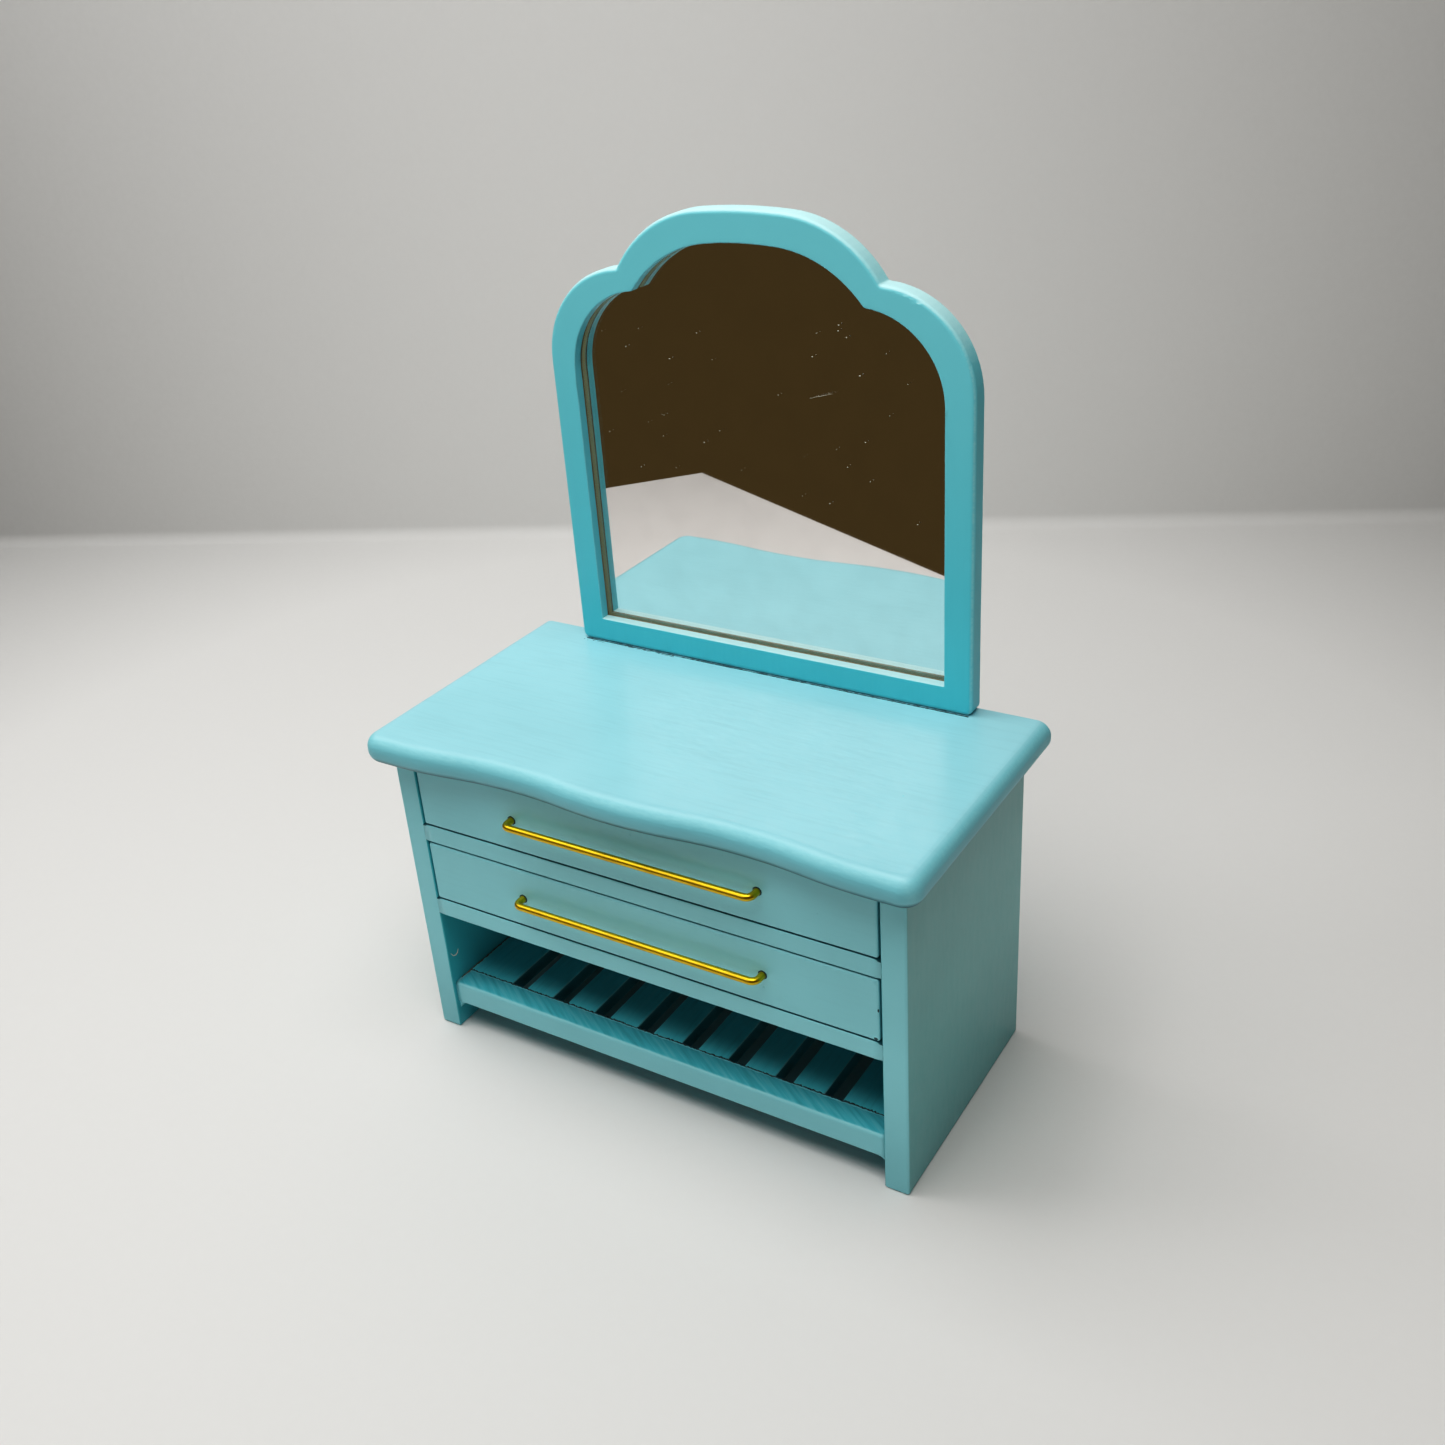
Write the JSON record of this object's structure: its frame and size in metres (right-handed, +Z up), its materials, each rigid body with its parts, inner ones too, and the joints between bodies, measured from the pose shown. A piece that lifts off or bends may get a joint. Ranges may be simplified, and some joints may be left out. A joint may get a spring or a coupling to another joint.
{
  "type": "miniature dressing table",
  "caption": "Small painted dressing table with sliding drawers on wire pulls, an open slatted shelf and a fixed mirror with a scalloped top.",
  "frame": {"origin": "on the floor, under the middle of the whole table's box", "axes": "+Z up; -Y is the front with the drawers; +X is to the right as the table is faced"},
  "size_m": [0.0976, 0.0492, 0.1338],
  "materials": {
    "aqua_paint": "satin aqua paint, thinly brushed over fine wood",
    "bare_wood": "bare pale wood, sanded",
    "brass_wire": "bright drawn brass wire",
    "silvered_glass": "clear sheet silvered on its back",
    "backing_board": "thin brown board"
  },
  "bodies": {
    "cabinet": {"back_panel": "aqua_paint", "drawer_divider": "aqua_paint", "lower_divider": "aqua_paint", "mirror_backing": "backing_board", "mirror_dowels": "bare_wood", "mirror_frame": "aqua_paint", "mirror_glass": "silvered_glass", "shelf_back_rail": "aqua_paint", "shelf_front_rail": "aqua_paint", "shelf_slat_1": "aqua_paint", "shelf_slat_2": "aqua_paint", "shelf_slat_3": "aqua_paint", "shelf_slat_4": "aqua_paint", "shelf_slat_5": "aqua_paint", "shelf_slat_6": "aqua_paint", "shelf_slat_7": "aqua_paint", "shelf_slat_8": "aqua_paint", "shelf_slat_9": "aqua_paint", "side_panel_left": "aqua_paint", "side_panel_right": "aqua_paint", "top_board": "aqua_paint"},
    "upper_drawer": {"upper_drawer_back": "bare_wood", "upper_drawer_bottom": "bare_wood", "upper_drawer_front": "aqua_paint", "upper_drawer_pull": "brass_wire", "upper_drawer_side_left": "bare_wood", "upper_drawer_side_right": "bare_wood"},
    "lower_drawer": {"lower_drawer_back": "bare_wood", "lower_drawer_bottom": "bare_wood", "lower_drawer_front": "aqua_paint", "lower_drawer_pull": "brass_wire", "lower_drawer_side_left": "bare_wood", "lower_drawer_side_right": "bare_wood"}
  },
  "joints": [
    {"name": "upper_drawer_slide", "type": "slide", "parent": "cabinet", "child": "upper_drawer", "axis": [0, -1, 0], "range_m": [0, 0.03]},
    {"name": "lower_drawer_slide", "type": "slide", "parent": "cabinet", "child": "lower_drawer", "axis": [0, -1, 0], "range_m": [0, 0.03]}
  ]
}
